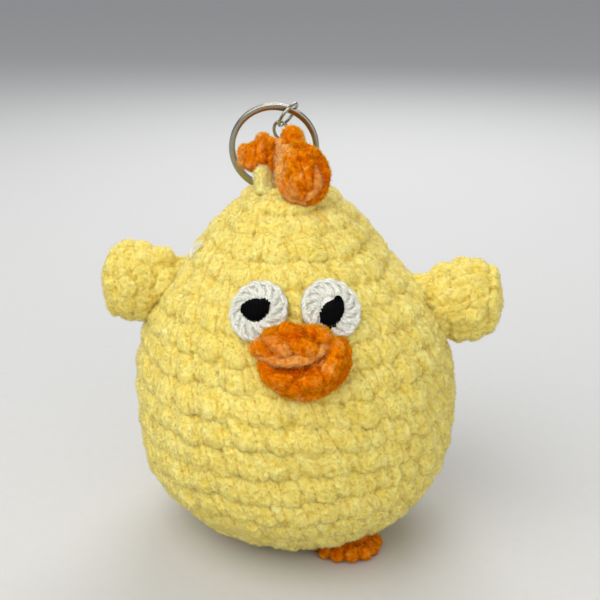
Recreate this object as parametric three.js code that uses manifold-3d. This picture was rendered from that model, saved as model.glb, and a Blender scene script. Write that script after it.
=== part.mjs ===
// Plush chick keychain: a stuffed chenille body with sewn-on wings, feet, eyes, beak and comb,
// and a split ring on a short chain that hooks into a yarn loop behind the comb.
// Millimetres, +Z up. The origin is the centre of the flat base, the face looks along -Y,
// and left and right are as seen from the front: left is -X.
import * as THREE from 'three';
import { mergeVertices } from 'three/addons/utils/BufferGeometryUtils.js';
import Module from 'manifold-3d';

const wasm = await Module();
wasm.setup();

// ---- driving dimensions ----
const GAP = 0.3; // clearance between pieces that touch
const WELD = 1e-4; // points closer than this are one point
const SKIN = 5; // thickness of the crocheted chenille
const LEAN = 0.03; // the body leans to the left by this much per mm above its belly
const BELLY_HEIGHT = 40;
const BODY_PROFILE = [ // radius and height of the body's outer surface, base to crown
  [17, 0], [31, 6.5], [42, 20], [45.2, 36], [44.3, 52],
  [38.5, 68], [26, 84], [17.5, 93.5], [11.5, 100], [2.2, 103.6],
];
const BODY_STEPS = 16; // steps along the profile
const BODY_SIDES = 32; // steps round the body
const SEARCH_STEPS = 400; // steps along the profile when a height is looked up on it
const CROWN_HOLE = 2.2; // radius of the opening drawn shut at the crown

const EYES = { left: [-9.1, 75.6], right: [8.7, 76.9] }; // x and height of each eye's centre
const EYE_RADII = [7.5, 8, 2.4];
const PUPILS = {
  left: { at: [-9.5, 75.9], radii: [3.5, 3.1, 1.1], turn: 0 },
  right: { at: [8.5, 75.8], radii: [3, 4.4, 1.1], turn: -0.35 },
};
const PUPIL_LIFT = 2; // of a pupil's middle above the body's surface
const BEAK_UPPER = { at: [0.4, 70.4], radii: [11.6, 6.2, 6.6] };
const BEAK_LOWER = { at: [1.9, 61.8], radii: [10.6, 5.6, 5.6] };

const BALL_SIDES = 16; // sides of the pads and the wings
const BALL_RINGS = 0.6; // rings up a ball, as a share of its sides
const LOBE_SIDES = 14; // sides of the comb's lobes and the tuft
const COMB = {
  front: { at: [1.8, -8.4, 105], radii: [6.6, 5.4, 8.4], tilt: -0.3, turn: 0.12 },
  middle: { at: [-0.6, 1.2, 109.6], radii: [3.7, 4.2, 6.9], tilt: 0, turn: 0 },
  back: { at: [-9.9, 4.6, 108.2], radii: [5.3, 4.6, 5.5], tilt: 0, turn: -0.3 },
};
const TUFT = { at: [-9.3, -2.4, 102.6], radii: [2.6, 2.4, 3.6] };

const WINGS = {
  left: { side: -1, root: [-34.6, 72.2], centre: [-43.4, 74], radii: [11.2, 8.6, 11.4] },
  right: { side: 1, root: [36.1, 67.6], centre: [47, 67.6], radii: [11.6, 8.6, 12] },
};
const WING_SKIN = 4;
const WING_SWING = 30; // degrees that a wing bends up and down at its root
const WING_STEPS = 2; // steps of the swing that the root is cut clear of

const FEET = { left: [-13, -7], right: [14.2, -19.6] }; // x and y of each foot's centre
const FOOT_RADII = [9.6, 8.8, 5.2];
const FLOOR = [200, 200, 20]; // block that trims the feet flat

const WIRE = 1; // diameter of the chain's wire
const LOOP_YARN = 2; // diameter of the crown loop's yarn
const LOOP_AT = [-1, 26, 89.9]; // the top of the crown loop, where the anchor ring hooks in
const LOOP_SPAN = 8; // between the loop's two ends
const LOOP_SHOULDERS = 5.2; // between the loop's two shoulders
const LOOP_DEPTH = 5; // from the loop's top to its ends
const LOOP_RISE = 0.12; // share of the depth at which the shoulders lie
const LOOP_INWARDS = [0, -0.76, -0.65]; // from the loop's top into the body
const ANCHOR_RADIUS = 3; // mean radius
const LINKS = 5;
const LINK_HALF_WIDTH = 1.9; // mean half width
const CONNECTOR_RADIUS = 3.8; // mean radius
const CONNECTOR_TILT = 0.63; // from upright, of the line between its two hooks
const CONNECTOR_FACING = [-0.42, -0.9, 0]; // lies in the connector's plane
const CUT = 0.2; // width of the butt cut in each link
const CUT_TURN = Math.PI / 3; // where round the link its cut lies
const WIRE_SIDES = 6; // sides of the wire's and the loop's section
const LINK_STEPS = 18; // steps round a link
const CONNECTOR_STEPS = 20;
const RING_STEPS = 64; // steps along both coils of the ring
const LOOP_STEPS = 12;

const RING_CENTRE = [-6.35, 18.8, 106.7];
const RING_DIAMETER = 25.6; // outer
const RING_BAND = [1.1, 1.7]; // one coil's width along the ring's axis, and across it
const BAND_CORNER = 0.3; // bevel at the band's corners
const RING_PITCH = 1.25; // from one coil of the ring to the other
const RING_LEAN = 0.105; // the ring's top leans forward
const RING_HOOK = 0.42; // where the connector holds the ring, clockwise from its top
const RING_STEP = 0.5; // half the angle over which the coils change places
const RING_START = 0.6; // angle from the ring's bottom at which the first coil starts

// ---- materials ----
function material(color, roughness, metalness = 0) {
  return new THREE.MeshStandardMaterial({ color, roughness, metalness });
}
const YELLOW = '#ecd670';
const ORANGE = '#dd7413';
const WHITE = '#e9eae0';
const BLACK = '#121110';
const FILL = '#f4f3ee';
const NICKEL = '#b9b5a8';
const YARN_ROUGHNESS = 0.95;
const METAL_ROUGHNESS = 0.25;

// ---- shapes ----
function toSolid(geometry) {
  const bare = geometry.clone();
  bare.deleteAttribute('normal');
  bare.deleteAttribute('uv');
  const merged = mergeVertices(bare, WELD);
  return new wasm.Manifold(new wasm.Mesh({
    numProp: 3,
    vertProperties: new Float32Array(merged.attributes.position.array),
    triVerts: new Uint32Array(merged.index.array),
  }));
}

function toGeometry(solid) {
  const { vertProperties, triVerts } = solid.getMesh();
  const geometry = new THREE.BufferGeometry();
  geometry.setAttribute('position', new THREE.BufferAttribute(vertProperties, 3));
  geometry.setIndex(new THREE.BufferAttribute(triVerts, 1));
  geometry.computeVertexNormals();
  return geometry;
}

const group = new THREE.Group();

function addMesh(name, geometry, look) {
  const mesh = new THREE.Mesh(geometry, look);
  mesh.name = name;
  group.add(mesh);
  return mesh;
}

function addSolid(name, solid, color) {
  return addMesh(name, toGeometry(solid), material(color, YARN_ROUGHNESS));
}

function subtractAll(solid, others) {
  return others.reduce((rest, other) => rest.subtract(other), solid);
}

// ---- body ----
const profileCurve = new THREE.SplineCurve(BODY_PROFILE.map(([r, z]) => new THREE.Vector2(r, z)));

function profileNormal(t) {
  const tangent = profileCurve.getTangent(t);
  return new THREE.Vector2(tangent.y, -tangent.x);
}

// Points of the body's profile, moved outwards by grow (inwards where it is negative).
function profilePoints(grow) {
  const points = [];
  for (let i = 0; i <= BODY_STEPS; i += 1) {
    const t = i / BODY_STEPS;
    const point = profileCurve.getPoint(t).addScaledVector(profileNormal(t), grow);
    if (point.x > CROWN_HOLE / 2) {
      points.push(point);
    }
  }
  points[0].y = -grow;
  return points;
}

function leanAt(z) {
  return -LEAN * Math.max(z - BELLY_HEIGHT, 0);
}

function bodyLathe(points) {
  const geometry = new THREE.LatheGeometry(points, BODY_SIDES);
  geometry.rotateX(Math.PI / 2);
  const position = geometry.attributes.position;
  for (let i = 0; i < position.count; i += 1) {
    position.setX(i, position.getX(i) + leanAt(position.getZ(i)));
  }
  return toSolid(geometry);
}

function onAxis(z) {
  return new THREE.Vector2(0, z);
}

// The body's whole outer form, for cutting the pieces that sit on it.
function bodyForm(grow) {
  const points = profilePoints(grow);
  const top = points.at(-1).y;
  return bodyLathe([onAxis(points[0].y), ...points, onAxis(top)]);
}

function bodyShell() {
  const outer = profilePoints(0);
  const inner = profilePoints(-SKIN).reverse();
  const rim = new THREE.Vector2(CROWN_HOLE, inner[0].y);
  return bodyLathe([onAxis(0), ...outer, rim, ...inner, onAxis(SKIN)]);
}

function bodyFill() {
  const points = profilePoints(-SKIN - 2 * GAP);
  return bodyLathe([onAxis(points[0].y), ...points, onAxis(points.at(-1).y)]);
}

const bodyCutter = bodyForm(GAP);

// A place on the body's front: its point, and a turn whose z axis points out of the surface.
function onFront([x, z]) {
  let nearest = 0;
  for (let i = 0; i <= SEARCH_STEPS; i += 1) {
    const t = i / SEARCH_STEPS;
    const here = Math.abs(profileCurve.getPoint(t).y - z);
    nearest = here < Math.abs(profileCurve.getPoint(nearest).y - z) ? t : nearest;
  }
  const radius = profileCurve.getPoint(nearest).x;
  const slope = profileNormal(nearest);
  const sideways = x - leanAt(z);
  const forward = -Math.sqrt(radius * radius - sideways * sideways);
  const out = new THREE.Vector3((slope.x * sideways) / radius, (slope.x * forward) / radius, slope.y);
  const across = new THREE.Vector3(0, 0, 1).cross(out).normalize();
  const up = out.clone().cross(across);
  return {
    point: new THREE.Vector3(x, forward, z),
    turn: new THREE.Matrix4().makeBasis(across, up, out),
  };
}

function ball(radii, sides = BALL_SIDES) {
  const geometry = new THREE.SphereGeometry(1, sides, Math.round(sides * BALL_RINGS));
  geometry.scale(...radii);
  return geometry;
}

// An oval pad lying on the body's front, grown by grow for cutting its neighbours.
function pad({ at, radii, turn = 0 }, grow = 0, lift = 0) {
  const place = onFront(at);
  const geometry = ball(radii.map((radius) => radius + grow));
  geometry.translate(0, 0, lift);
  geometry.rotateZ(turn);
  geometry.applyMatrix4(place.turn);
  geometry.translate(place.point.x, place.point.y, place.point.z);
  return toSolid(geometry);
}

// ---- face ----
function addFace() {
  const eyeCutters = [];
  for (const side of ['left', 'right']) {
    const eye = { at: EYES[side], radii: EYE_RADII };
    const white = pad(eye, GAP);
    addSolid(`eye_white_${side}`, pad(eye).subtract(bodyCutter), WHITE);
    addSolid(`pupil_${side}`, subtractAll(pad(PUPILS[side], 0, PUPIL_LIFT), [white, bodyCutter]), BLACK);
    eyeCutters.push(white, pad(PUPILS[side], GAP, PUPIL_LIFT));
  }
  const upper = subtractAll(pad(BEAK_UPPER), [bodyCutter, ...eyeCutters]);
  const lower = subtractAll(pad(BEAK_LOWER), [bodyCutter, pad(BEAK_UPPER, GAP)]);
  addSolid('beak_upper', upper, ORANGE);
  addSolid('beak_lower', lower, ORANGE);
}

// ---- comb and tuft on the crown ----
function lobe({ at, radii, tilt = 0, turn = 0 }, grow = 0) {
  const geometry = ball(radii.map((radius) => radius + grow), LOBE_SIDES);
  geometry.rotateY(turn);
  geometry.rotateX(tilt);
  geometry.translate(...at);
  return toSolid(geometry);
}

function addCrown() {
  const cutters = [bodyCutter];
  for (const [place, shape] of Object.entries(COMB)) {
    addSolid(`comb_${place}`, subtractAll(lobe(shape), cutters), ORANGE);
    cutters.push(lobe(shape, GAP));
  }
  addSolid('crown_tuft', subtractAll(lobe(TUFT), cutters), YELLOW);
}

// ---- feet ----
function addFeet() {
  const floor = new THREE.BoxGeometry(...FLOOR).translate(0, 0, -FLOOR[2] / 2);
  for (const side of ['left', 'right']) {
    const foot = ball(FOOT_RADII).translate(...FEET[side], 0);
    addSolid(`foot_${side}`, subtractAll(toSolid(foot), [bodyCutter, toSolid(floor)]), ORANGE);
  }
}

// ---- wings ----
// The body as each wing sees it while it bends at its root: turned about the root's hinge.
function swungBodies(wing) {
  const [x, z] = wing.root;
  const bodies = [];
  for (let i = 0; i <= WING_STEPS; i += 1) {
    const angle = WING_SWING * ((2 * i) / WING_STEPS - 1);
    const body = bodyForm(2 * GAP).translate([-x, 0, -z]).rotate([0, angle, 0]);
    bodies.push(body.translate([x, 0, z]));
  }
  return bodies;
}

function wingBall(wing, shrink, inset) {
  const [x, z] = wing.centre;
  const geometry = ball(wing.radii.map((radius) => radius - shrink));
  return toSolid(geometry.translate(x - wing.side * inset, 0, z));
}

function addWings() {
  for (const side of ['left', 'right']) {
    const wing = WINGS[side];
    const clear = swungBodies(wing);
    const hollow = wingBall(wing, WING_SKIN, WING_SKIN);
    const skin = wingBall(wing, 0, 0).subtract(hollow);
    const fill = wingBall(wing, WING_SKIN + GAP, WING_SKIN);
    addSolid(`wing_${side}`, subtractAll(skin, clear), YELLOW);
    addSolid(`wing_fill_${side}`, subtractAll(fill, clear), FILL);
  }
}

// ---- wire rings ----
class OvalPath extends THREE.Curve {
  constructor(halfWidth, halfLength) {
    super();
    this.halfWidth = halfWidth;
    this.halfLength = halfLength;
    this.halfCut = CUT / 2 / halfWidth;
  }

  getPoint(t, target = new THREE.Vector3()) {
    const angle = CUT_TURN + this.halfCut + t * (2 * Math.PI - 2 * this.halfCut);
    return target.set(this.halfWidth * Math.cos(angle), 0, this.halfLength * Math.sin(angle));
  }
}

// Two flat coils side by side, which change places over a short step.
class SplitRingPath extends THREE.Curve {
  getPoint(t, target = new THREE.Vector3()) {
    const radius = (RING_DIAMETER - RING_BAND[1]) / 2;
    const first = RING_START;
    const angle = first + t * (4 * Math.PI - 2 * first);
    const across = THREE.MathUtils.clamp((angle - 2 * Math.PI) / RING_STEP, -1, 1);
    const axial = (RING_PITCH / 2) * Math.sin((across * Math.PI) / 2);
    return target.set(radius * Math.sin(angle), axial, -radius * Math.cos(angle));
  }
}

function sweep(path, section, steps) {
  return new THREE.ExtrudeGeometry(section, { extrudePath: path, steps });
}

function roundSection(diameter) {
  const points = [];
  for (let i = 0; i < WIRE_SIDES; i += 1) {
    const angle = (2 * Math.PI * (i + 0.5)) / WIRE_SIDES;
    points.push(new THREE.Vector2(Math.cos(angle), Math.sin(angle)).multiplyScalar(diameter / 2));
  }
  return new THREE.Shape(points);
}

function bandSection([width, depth]) {
  const corners = [];
  for (const [sx, sy] of [[1, 1], [-1, 1], [-1, -1], [1, -1]]) {
    const along = new THREE.Vector2(sx * (width / 2 - BAND_CORNER), (sy * depth) / 2);
    const beside = new THREE.Vector2((sx * width) / 2, sy * (depth / 2 - BAND_CORNER));
    corners.push(...(sx * sy > 0 ? [beside, along] : [along, beside]));
  }
  return new THREE.Shape(corners);
}

// Places a ring by its own z axis (up) and the direction that lies in its plane (across).
function placeRing(name, geometry, centre, up, across) {
  const mesh = addMesh(name, geometry, material(NICKEL, METAL_ROUGHNESS, 1));
  const upright = up.clone().normalize();
  const normal = upright.clone().cross(across).normalize();
  const sideways = normal.clone().cross(upright);
  const turn = new THREE.Matrix4().makeBasis(sideways, normal, upright);
  mesh.setRotationFromMatrix(turn);
  mesh.position.copy(centre);
}

// ---- the ring and its chain ----
const ringUp = new THREE.Vector3(0, -Math.sin(RING_LEAN), Math.cos(RING_LEAN));
const ringRight = new THREE.Vector3(1, 0, 0);

function ringHook() {
  const radius = (RING_DIAMETER - RING_BAND[1]) / 2;
  const hook = new THREE.Vector3(...RING_CENTRE);
  hook.addScaledVector(ringRight, radius * Math.sin(RING_HOOK));
  return hook.addScaledVector(ringUp, radius * Math.cos(RING_HOOK));
}

function addKeyring() {
  const centre = new THREE.Vector3(...RING_CENTRE);
  const ring = sweep(new SplitRingPath(), bandSection(RING_BAND), RING_STEPS);
  placeRing('split_ring', ring, centre, ringUp, ringRight);

  // The connector hangs from the ring with its long direction tilted to the right.
  const connectorUp = new THREE.Vector3(Math.sin(CONNECTOR_TILT), 0, Math.cos(CONNECTOR_TILT));
  const bandReach = Math.hypot(RING_PITCH + RING_BAND[0], RING_BAND[1]) / 2;
  const slack = CONNECTOR_RADIUS - WIRE / 2 - bandReach - GAP;
  const connectorCentre = ringHook().addScaledVector(connectorUp, -slack);
  const connectorPath = new OvalPath(CONNECTOR_RADIUS, CONNECTOR_RADIUS);
  const connector = sweep(connectorPath, roundSection(WIRE), CONNECTOR_STEPS);
  const facing = new THREE.Vector3(...CONNECTOR_FACING);
  placeRing('connector_ring', connector, connectorCentre, connectorUp, facing);

  // The chain stands straight between the crown loop and the connector's lower end.
  const foot = new THREE.Vector3(...LOOP_AT);
  const head = connectorCentre.clone().addScaledVector(connectorUp, -CONNECTOR_RADIUS);
  const along = head.clone().sub(foot).normalize();
  const sideways = new THREE.Vector3(1, 0, 0);
  const backwards = new THREE.Vector3(0, 1, 0);
  const touch = WIRE + GAP;
  let bottom = -(LOOP_YARN + WIRE) / 2 - GAP;
  const pitch = (head.distanceTo(foot) - bottom - 2 * ANCHOR_RADIUS + touch) / LINKS;
  const halfLength = (pitch + touch) / 2;
  const anchor = sweep(new OvalPath(ANCHOR_RADIUS, ANCHOR_RADIUS), roundSection(WIRE), LINK_STEPS);
  const anchorCentre = foot.clone().addScaledVector(along, bottom + ANCHOR_RADIUS);
  placeRing('anchor_ring', anchor, anchorCentre, along, backwards);
  bottom += 2 * ANCHOR_RADIUS - touch;
  for (let i = 1; i <= LINKS; i += 1) {
    const link = sweep(new OvalPath(LINK_HALF_WIDTH, halfLength), roundSection(WIRE), LINK_STEPS);
    const linkCentre = foot.clone().addScaledVector(along, bottom + halfLength);
    placeRing(`chain_link_${i}`, link, linkCentre, along, i % 2 ? sideways : backwards);
    bottom += pitch;
  }
}

function addCrownLoop() {
  const [x, y, z] = LOOP_AT;
  const top = new THREE.Vector3(x, y, z);
  const inwards = new THREE.Vector3(...LOOP_INWARDS).multiplyScalar(LOOP_DEPTH);
  const pair = (share, span) => [-1, 1].map((side) => {
    const point = top.clone().addScaledVector(inwards, share);
    return point.setX(x + (side * span) / 2);
  });
  const ends = pair(1, LOOP_SPAN);
  const shoulders = pair(LOOP_RISE, LOOP_SHOULDERS);
  const path = new THREE.CatmullRomCurve3([ends[0], shoulders[0], top, shoulders[1], ends[1]]);
  const loop = toSolid(sweep(path, roundSection(LOOP_YARN), LOOP_STEPS));
  addSolid('crown_loop', loop.subtract(bodyCutter), YELLOW);
}

addSolid('body_shell', bodyShell(), YELLOW);
addSolid('fibre_fill', bodyFill(), FILL);
addFace();
addCrown();
addFeet();
addWings();
addCrownLoop();
addKeyring();

export default group;
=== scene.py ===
import math

import bmesh
import bpy
import numpy as np
from mathutils import Matrix, Vector, noise


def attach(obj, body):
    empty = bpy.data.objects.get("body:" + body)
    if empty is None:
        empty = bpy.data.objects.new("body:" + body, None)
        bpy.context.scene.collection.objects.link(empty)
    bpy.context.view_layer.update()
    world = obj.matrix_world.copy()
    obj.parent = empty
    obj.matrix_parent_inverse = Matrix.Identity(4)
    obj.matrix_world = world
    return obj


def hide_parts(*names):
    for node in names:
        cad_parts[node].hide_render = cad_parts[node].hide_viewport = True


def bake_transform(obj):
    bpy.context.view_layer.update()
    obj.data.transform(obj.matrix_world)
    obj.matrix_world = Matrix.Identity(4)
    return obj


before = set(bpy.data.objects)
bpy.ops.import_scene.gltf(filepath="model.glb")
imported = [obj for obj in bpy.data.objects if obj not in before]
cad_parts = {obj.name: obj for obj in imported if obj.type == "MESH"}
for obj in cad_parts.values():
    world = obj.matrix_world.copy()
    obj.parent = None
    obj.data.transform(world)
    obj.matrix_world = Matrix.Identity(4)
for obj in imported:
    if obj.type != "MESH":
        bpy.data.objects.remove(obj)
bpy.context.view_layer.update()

MM = 0.001

# ---- camera and studio ----
CAMERA_TARGET = Vector((1.0, 0.0, 67.5))
CAMERA_DISTANCE = 280.0
CAMERA_ELEVATION = math.radians(20)
CAMERA_LENS = 60.0
CAMERA_SENSOR = 36.0
CAMERA_REACH = (0.01, 20.0)  # what it sees, from and to, in metres
FLOOR_HALF_SIZE = 5000.0
PAPER = ("#c4c4c3", "#c9c9c8")
PAPER_GRAIN = 3.0
SKY_COLOUR = (0.93, 0.95, 1.0, 1)
SKY_STRENGTH = 0.45
# Each light is a disk that faces LIGHTS_AIM. Their places and sizes are in metres.
LIGHTS_AIM = Vector((0, 0, 0.06))
LIGHTS = {
    "key": {"at": (-0.42, -0.42, 0.8), "size": 1.0, "power": 7.4, "colour": (1.0, 0.98, 0.94)},
    "fill": {"at": (0.5, -0.7, 0.3), "size": 0.9, "power": 2.4, "colour": (1.0, 0.98, 0.95)},
    "back": {"at": (0.1, 0.6, 0.6), "size": 0.6, "power": 3.6, "colour": (1.0, 1.0, 1.0)},
}

# ---- body, as in the frame ----
LEAN = 0.03
BELLY_HEIGHT = 40.0
BODY_OUTLINE = [
    (0, 0.4), (9, 0.2), (17, 0.4), (31, 6.5), (42, 20), (45.2, 36), (44.3, 52),
    (38.5, 68), (26, 84), (18.4, 93.7), (10.8, 99.3), (5.3, 101.8), (0, 103),
]
# A crocheted piece's puffs stand on its outline moved in by its inset.
BODY = {"outline": BODY_OUTLINE, "inset": 2.15, "stitch": 7.85, "row": 7.2, "flatness": 1.0}
BODY_SEED = 11
LUMP, LUMP_SIZE, LUMP_SEED = 0.5, 24.0, 3
FLAT_BOTTOM = 0.15  # its puffs reach down to this height
LOWEST = 0.1  # and its pile to this one
# Icosphere subdivisions. The body has two: a lower one, which this script doesn't use, and the full one.
BODY_DETAIL = (7, 8)
WING_DETAIL = 6
PAD_DETAIL = 5

# ---- wings ----
WING_OUTLINE = [
    (0, -7), (6.4, -6), (8.4, -1), (10.6, 4), (12, 9.5), (11, 15), (7.2, 19), (2.5, 20.8), (0, 21),
]
WING = {"outline": WING_OUTLINE, "inset": 2.3, "stitch": 7.0, "row": 6.4, "flatness": 0.8}
WINGS = {
    "left": {"root": (-34.6, 0, 72.8), "out": (-1, 0, 0.05), "size": 1.0, "seed": 23},
    "right": {"root": (37.2, 0, 67.8), "out": (1, 0, -0.02), "size": 1.05, "seed": 37},
}

# ---- face ----
# An eye's radii across and upwards, and its centre's x and height.
EYES = {
    "left": {"at": (-9.1, 75.9), "radii": (7.3, 8.1)},
    "right": {"at": (8.5, 76.2), "radii": (7.6, 8.0)},
}
EYE_STITCHES = 13
EYE_LIFT = 1.3
EYE_PAD = (0.93, 1.9)  # its pad's share of the eye's radii, and its depth
EYE_DOMING = 0.9
# A stitch's two legs: where each starts round the stitch, its ends as shares of the eye's radii,
# and its lean.
EYE_LEGS = [(0.0, 0.42, 0.84, 0.30), (0.5, 0.44, 0.82, 0.62)]
EYE_LEG_POINTS = 4
EYE_LEG_RISE = 0.55
EYE_LEG_ARC = (0.25, 0.5)  # a leg rises along part of a sine wave: where it starts, and how much
EYE_LEG_RADIUS = 0.62
# The loop along its rim, one to a stitch.
EYE_LOOP = {"start": 0.3, "reach": 0.86, "bow": 0.06, "slip": 0.02, "turn": 0.62, "points": 5}
EYE_LOOP_DROP, EYE_LOOP_RISE, EYE_LOOP_FALL = 0.75, 0.45, 0.2
EYE_LOOP_RADIUS = 0.72
EYE_SEED = 50
# Each pupil is a row of upright threads, given by their tops and bottoms.
PUPILS = {
    "left": {
        "at": (-9.5, 76.0), "width": 6.3, "lean": 0.0,
        "tops": (1.2, 2.3, 2.4, 1.6, 2.8, 3.1, 2.3),
        "bottoms": (-1.9, -3.0, -3.5, -3.7, -3.5, -2.7, -1.3),
    },
    "right": {
        "at": (8.3, 74.9), "width": 5.6, "lean": 0.1,
        "tops": (0.9, 2.2, 3.1, 3.4, 3.8, 4.1, 3.8),
        "bottoms": (-2.4, -3.4, -4.0, -3.9, -3.2, -2.2, -0.4),
    },
}
PUPIL_LIFT = 2.9
# Its pad's radius as a share of its width, its depth, and how far it is sunk.
PUPIL_PAD = (0.42, 1.0, 0.9)
PUPIL_DOMING = 0.02
THREAD = 0.42
THREADS = 11
THREAD_POINTS = 5
THREAD_STEPS = 3
THREAD_TUCK = 0.8  # how far a thread's ends go in
THREAD_END = 0.9  # where its ends begin, from 0 at its middle to 1
KNOT = {"at": (2.2, 3.3), "radius": 0.7, "thread": 0.35, "points": 16, "sunk": 0.2}

# Yarn pieces: each strand's path and its yarn's radius, and a tone where its pile is painted paler or
# deeper: painted highlight on rims and on the tuft, painted shade on the strands in the mouth's gap,
# besides some difference from strand to strand. The first strand of each of the larger pieces is its
# filling.
BEAK_UPPER = [
    {"path": [(-5.2, -38.6, 70.4), (0.3, -39.4, 71.2), (5.4, -38.4, 70.9)], "radius": 4.0},
    {"path": [(-9.0, -39.7, 69.6), (-6.4, -41.4, 70.2)], "radius": 2.4, "tone": 0.3},
    {"path": [(-5.8, -41.3, 71.4), (-3.0, -42.6, 70.4)], "radius": 2.4, "tone": 0.4},
    {"path": [(-2.2, -39.8, 74.2), (0.4, -41.0, 73.4)], "radius": 2.2, "tone": -0.3},
    {"path": [(0.6, -42.4, 71.6), (3.2, -42.6, 70.7)], "radius": 2.4, "tone": 0.1},
    {"path": [(3.8, -40.5, 74.0), (7.6, -40.5, 71.6)], "radius": 1.9},
    {"path": [(-8.3, -41.0, 68.3), (-4.9, -43.3, 67.9), (-0.9, -44.2, 68.0), (2.9, -43.6, 68.4),
              (5.2, -42.6, 69.6), (7.9, -41.2, 71.2)], "radius": 1.4, "tone": 0.6},
]
BEAK_LOWER = [
    {"path": [(-3.2, -40.9, 63.0), (3.0, -41.5, 62.6), (8.2, -40.2, 65.2)], "radius": 4.0},
    {"path": [(-7.2, -41.5, 65.6), (-5.7, -43.0, 63.4), (-2.8, -44.5, 63.0)], "radius": 2.3},
    {"path": [(-3.3, -44.0, 61.5), (0.3, -45.0, 61.4)], "radius": 1.9},
    {"path": [(2.4, -45.2, 62.3), (5.3, -45.0, 63.3)], "radius": 2.2},
    {"path": [(7.2, -44.0, 63.6), (9.2, -42.7, 66.7), (9.7, -41.2, 69.2), (8.7, -40.5, 70.4)],
     "radius": 2.4},
    {"path": [(8.6, -42.6, 61.6), (11.0, -41.4, 64.2), (11.7, -39.6, 67.2), (10.9, -38.0, 70.0)],
     "radius": 2.0, "tone": -0.2},
    {"path": [(-2.6, -43.0, 60.2), (2.2, -43.2, 59.2), (6.6, -43.0, 60.2)], "radius": 1.9},
    # Painted shade: these two strands are toned deeper to darken the gap of the mouth.
    {"path": [(-3.8, -43.2, 64.5), (0.0, -43.7, 64.4)], "radius": 1.4, "tone": -0.6},
    {"path": [(2.7, -43.8, 64.5), (5.8, -43.2, 65.3)], "radius": 1.4, "tone": -0.6},
]

# ---- comb and tuft ----
COMB_FRONT = [
    {"path": [(0.6, -7.4, 109.0), (1.8, -9.4, 103.0)], "radius": 4.2},
    {"path": [(-2.3, -8.0, 111.0), (-3.4, -9.5, 107.1), (-3.5, -11.0, 103.3), (-1.3, -12.0, 100.5),
              (1.8, -12.0, 99.3)], "radius": 1.6, "tone": 0.6},
    {"path": [(-0.9, -10.2, 110.2), (-0.4, -12.0, 107.2), (0.8, -13.2, 103.8)],
     "radius": 2.3, "tone": 0.15},
    {"path": [(-1.8, -11.3, 105.6), (-0.6, -12.8, 102.8), (1.2, -13.2, 101.6)],
     "radius": 1.9, "tone": 0.35},
    {"path": [(0.7, -8.0, 112.0), (3.8, -9.0, 110.9), (6.1, -9.8, 108.2), (7.0, -10.5, 104.7),
              (6.2, -11.3, 101.5), (3.8, -12.0, 99.9)], "radius": 1.9, "tone": -0.3},
    {"path": [(4.3, -12.3, 107.6), (5.3, -13.4, 105.2), (5.0, -13.7, 102.6), (3.0, -13.6, 100.6)],
     "radius": 1.1, "tone": 0.7},
    {"path": [(2.0, -10.8, 110.4), (3.2, -12.2, 107.2), (3.0, -12.9, 103.4)],
     "radius": 2.0, "tone": -0.1},
]
COMB_MIDDLE = [
    {"path": [(-0.8, 2.0, 111.6), (-0.6, 0.6, 103.5)], "radius": 3.0},
    {"path": [(-1.2, 1.0, 113.6), (-1.2, 0.2, 111.8), (-0.6, -1.0, 109.6)], "radius": 2.7},
    {"path": [(-4.2, -1.0, 112.2), (-4.3, -1.8, 109.9), (-4.4, -2.6, 106.6), (-4.4, -3.6, 103.3)],
     "radius": 1.1, "tone": 0.6},
    {"path": [(-2.7, -1.0, 111.9), (-3.0, -2.5, 108.8)], "radius": 1.5},
    {"path": [(0.9, 0.0, 112.0), (1.5, -2.0, 109.4)], "radius": 1.5},
    {"path": [(0.4, 3.4, 113.2), (0.6, 4.2, 108.8)], "radius": 1.7},
    {"path": [(-2.4, 3.2, 112.8), (-2.6, 4.4, 108.4)], "radius": 1.6},
]
COMB_BACK = [
    {"path": [(-11.2, 5.6, 108.0), (-8.0, 3.4, 103.4)], "radius": 3.0},
    {"path": [(-13.9, 5.2, 108.4), (-13.6, 4.4, 105.8)], "radius": 2.0, "tone": 0.2},
    {"path": [(-11.4, 4.2, 109.2), (-11.8, 3.0, 105.4)], "radius": 2.2},
    {"path": [(-8.9, 4.2, 111.6), (-9.3, 3.6, 109.3), (-9.3, 2.6, 106.6)], "radius": 2.1, "tone": 0.2},
    {"path": [(-6.7, 3.0, 111.2), (-6.4, 2.6, 109.0), (-6.5, 2.0, 106.6), (-6.5, 0.5, 103.8)],
     "radius": 1.5},
    {"path": [(-12.4, 7.4, 108.6), (-11.0, 7.8, 105.2)], "radius": 1.9},
    {"path": [(-8.8, 6.6, 111.2), (-8.4, 7.4, 107.0)], "radius": 2.0},
]
# Painted light: the tuft is toned paler to make up for the light that it misses.
TUFT = [
    {"path": [(-9.0, -1.9, 103.9), (-8.8, -2.8, 101.8), (-8.2, -3.6, 99.8)], "radius": 2.3, "tone": 0.7},
    {"path": [(-7.6, -1.6, 102.6), (-6.6, -3.0, 99.6)], "radius": 1.8, "tone": 0.7},
    {"path": [(-8.6, -1.2, 102.4), (-8.0, -3.2, 99.0)], "radius": 1.8, "tone": 0.7},
]
CROWN_LOOP = [
    {"path": [(-5.0, 22.2, 86.6), (-3.6, 25.5, 89.5), (-1.0, 26.0, 89.9), (1.6, 25.5, 89.5),
              (3.0, 22.2, 86.6)], "radius": 1.0},
]

YARN_SEED = 40  # the first piece's, and one more for each of the rest

# ---- feet ----
FEET = {"left": (-13.0, -7.0), "right": (14.2, -19.6)}
FOOT_PUFFS = 13
FOOT_RADIUS = 10.0
FOOT_YARN = 2.1
FOOT_DEPTH = 0.92  # its depth from front to back as a share of its width
FOOT_MIDDLE = {"half_length": 3, "height": 2.0, "radius": 4.6}
FOOT_PUFF_START = 0.35  # as a share of where the puffs end
FOOT_PUFF_HEIGHTS = (3.2, 1.7)
FOOT_WAVE, FOOT_WAVES = 0.3, 3
FOOT_FLOOR = 0.1
FOOT_SEED = 60

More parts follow.
